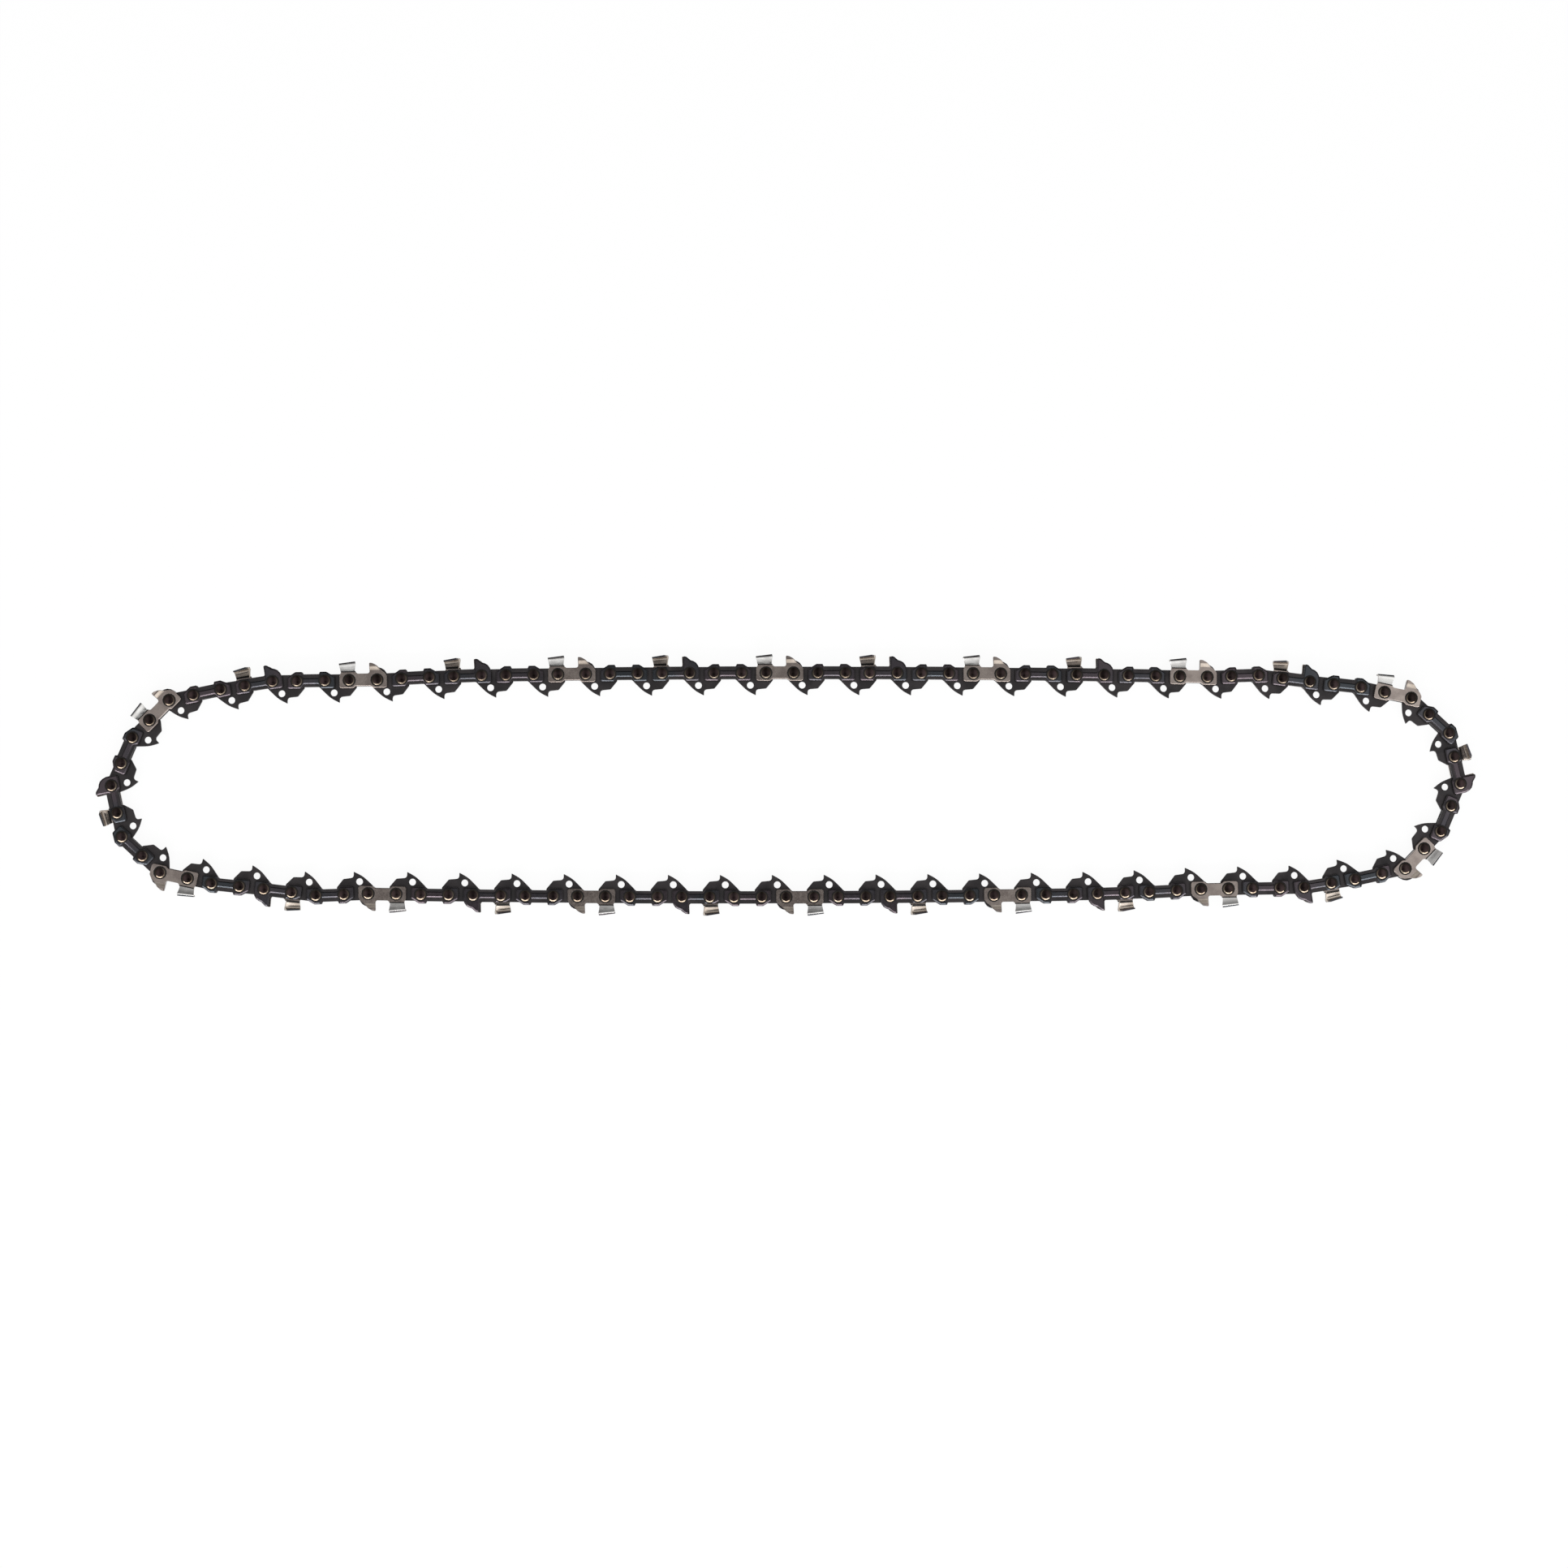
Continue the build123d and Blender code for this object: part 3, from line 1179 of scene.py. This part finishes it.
@dataclass
class Studio:
    """Camera, floor, lamps and world.

    Attributes:
        focal_mm: focal length of the lens.
        sensor_mm: width of the sensor.
        clip: nearest and farthest distance that the camera sees, in metres.
        lens_at: the camera's place in its own axes, in millimetres from the middle of the loop.
        tilt: turns about x, y and z from the loop's axes to the camera's, in degrees.
        floor_size: side of the floor, in metres.
        floor_tone: sRGB colour of the floor.
        floor_glow: share of the floor's white that no shadow darkens.
        near_world: brightness of the world beyond the lower run, where the soft box stands.
        far_world: brightness of the world beyond the upper run.
        hood_scale: how much each axis counts in the ellipse behind the camera and its hood.
        hood_shift: where that ellipse lies.
        hood_edge: distances from its middle between which its shade ends.
        shade: how much of the world's light is left inside it.
        horizon: how much of the light is left at the horizon, below the tent's walls.
        horizon_edge: sines of the elevations between which the tent's walls begin.
        side_world: what the world gains overhead, towards the loop's two ends.
        side_shift: how far the middle between those gains lies off the zenith.
        side_edge: distances from that middle between which the gain comes in.
        side_power: how fast the gain falls off with the sine of the elevation.
        backdrop: sine of the elevation up to which the backdrop is white, and of that at which it ends.
        lamps: a soft box, and a strip lamp under it.
    """

    focal_mm: float = 63.79
    sensor_mm: float = 36.0
    clip: Pair = (0.02, 100.0)
    lens_at: tuple[float, float, float] = (-2.0, 0.4, 1000.0)
    tilt: tuple[float, float, float] = (-2.16, 1.39, 0.09)
    floor_size: float = 60.0
    floor_tone: str = "#f4f4f4"
    floor_glow: float = 0.94
    near_world: float = 1.08
    far_world: float = 0.08
    hood_scale: tuple[float, float, float] = (0.45, 1.0, 0.0)
    hood_shift: tuple[float, float, float] = (-0.014, 0.09, 0.0)
    hood_edge: Pair = (0.05, 0.2)
    shade: float = 0.0
    horizon: float = 0.3
    horizon_edge: Pair = (0.3, 0.85)
    side_world: float = 1.9
    side_shift: float = 0.04
    side_edge: Pair = (0.1, 0.4)
    side_power: float = 4.0
    backdrop: Pair = (0.1, 0.2)
    lamps: tuple[Lamp, ...] = (
        Lamp("soft_box", 9.0, (3.0, 0.9), -90.0, 40.0),
        Lamp("strip_lamp", 27.0, (4.4, 0.17), -90.0, 29.2),
    )

    def camera(self) -> None:
        """Stand the camera over the loop, tilted as the photograph's was."""
        turn = Matrix.Identity(3)
        for angle, axis in zip(self.tilt, "XYZ"):
            turn = turn @ Matrix.Rotation(math.radians(angle), 3, axis)
        turn.transpose()
        data = bpy.data.cameras.new("camera")
        data.lens, data.sensor_width, data.sensor_fit = self.focal_mm, self.sensor_mm, "HORIZONTAL"
        data.clip_start, data.clip_end = self.clip
        made = bpy.data.objects.new("camera", data)
        made.matrix_world = Matrix.Translation(turn @ Vector(self.lens_at) * MM) @ turn.to_4x4()
        bpy.context.collection.objects.link(made)
        bpy.context.scene.camera = made

    def floor(self) -> None:
        """Lay a matt white floor that shows as white and still takes the loop's shadow."""
        half = self.floor_size / 2
        mesh = bpy.data.meshes.new("floor")
        corners = [(-half, -half, 0), (half, -half, 0), (half, half, 0), (-half, half, 0)]
        mesh.from_pydata(corners, [], [[0, 1, 2, 3]])
        made = bpy.data.materials.new("matt_white_paper")
        made.use_nodes = True
        tree = made.node_tree
        tree.nodes.clear()
        seen = seen_or_mirrored(tree)
        share = add_node(tree, "ShaderNodeMath", {0: seen, 1: self.floor_glow}, operation="MULTIPLY")
        matt = add_node(tree, "ShaderNodeBsdfDiffuse", {"Color": linear(self.floor_tone)})
        glow = add_node(tree, "ShaderNodeEmission", {"Color": WHITE, "Strength": 1.0})
        mix = add_node(tree, "ShaderNodeMixShader", {0: share, 1: matt, 2: glow})
        add_node(tree, "ShaderNodeOutputMaterial", {"Surface": mix})
        mesh.materials.append(made)
        plane = bpy.data.objects.new("floor", mesh)
        bpy.context.collection.objects.link(plane)

    def world(self) -> None:
        """Surround the loop with soft light.

        It fades from the soft box's side to the other and from overhead to the horizon, is shaded
        overhead in a long ellipse round the camera, and grows overhead towards the loop's two ends. A low
        white backdrop shows above the floor's edge and lights nothing.
        """
        made = bpy.data.worlds.new("light_tent")
        made.use_nodes = True
        tree = made.node_tree
        tree.nodes.clear()
        way = add_node(tree, "ShaderNodeTexCoord", {}).outputs["Generated"]
        parts = add_node(tree, "ShaderNodeSeparateXYZ", {"Vector": way}).outputs
        fade = ranged(parts["Y"], (-1.0, 1.0), (self.near_world, self.far_world))
        light = add_node(tree, "ShaderNodeMapRange", fade)
        oval = add_node(
            tree, "ShaderNodeMapping", {"Vector": way, "Scale": self.hood_scale, "Location": self.hood_shift}
        )
        away = add_node(tree, "ShaderNodeVectorMath", {0: oval}, operation="LENGTH")
        hood = ranged(away.outputs["Value"], self.hood_edge, (self.shade, 1.0))
        walls = ranged(parts["Z"], self.horizon_edge, (self.horizon, 1.0))
        for veil, ease in ((hood, "SMOOTHSTEP"), (walls, "LINEAR")):
            left = add_node(tree, "ShaderNodeMapRange", veil, interpolation_type=ease)
            light = add_node(tree, "ShaderNodeMath", {0: light, 1: left}, operation="MULTIPLY")
        offset = add_node(tree, "ShaderNodeMath", {0: parts["X"], 1: self.side_shift}, operation="ADD")
        aside = add_node(tree, "ShaderNodeMath", {0: offset}, operation="ABSOLUTE")
        gain = ranged(aside, self.side_edge, (0.0, self.side_world))
        ends = add_node(tree, "ShaderNodeMapRange", gain)
        upward = add_node(tree, "ShaderNodeMath", {0: parts["Z"], 1: self.side_power}, operation="POWER")
        total = add_node(tree, "ShaderNodeMath", {0: ends, 1: upward, 2: light}, operation="MULTIPLY_ADD")
        below = add_node(tree, "ShaderNodeMapRange", ranged(parts["Z"], self.backdrop, (1.0, 0.0)))
        share = add_node(tree, "ShaderNodeMath", {0: below, 1: seen_or_mirrored(tree)}, operation="MULTIPLY")
        tent = add_node(tree, "ShaderNodeBackground", {"Color": WHITE, "Strength": total})
        wall = add_node(tree, "ShaderNodeBackground", {"Color": WHITE, "Strength": 1.0})
        both = add_node(tree, "ShaderNodeMixShader", {0: share, 1: tent, 2: wall})
        add_node(tree, "ShaderNodeOutputWorld", {"Surface": both})
        bpy.context.scene.world = made

    def build(self) -> None:
        """Set up the whole studio."""
        self.camera()
        self.floor()
        for lamp in self.lamps:
            lamp.hang()
        self.world()
        bpy.context.scene.view_settings.view_transform = "Standard"


def main() -> None:
    """Load the frame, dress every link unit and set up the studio."""
    logging.basicConfig(level=logging.INFO, format="%(name)s: %(message)s")
    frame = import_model()
    for unit in ChainLoop(frame["record"]).units():
        for made in unit.build():
            LOG.info("%s: %d faces on %s", made.name, len(made.data.polygons), unit.body)
    Studio().build()
    bpy.context.view_layer.update()


if __name__ == "__main__":
    main()
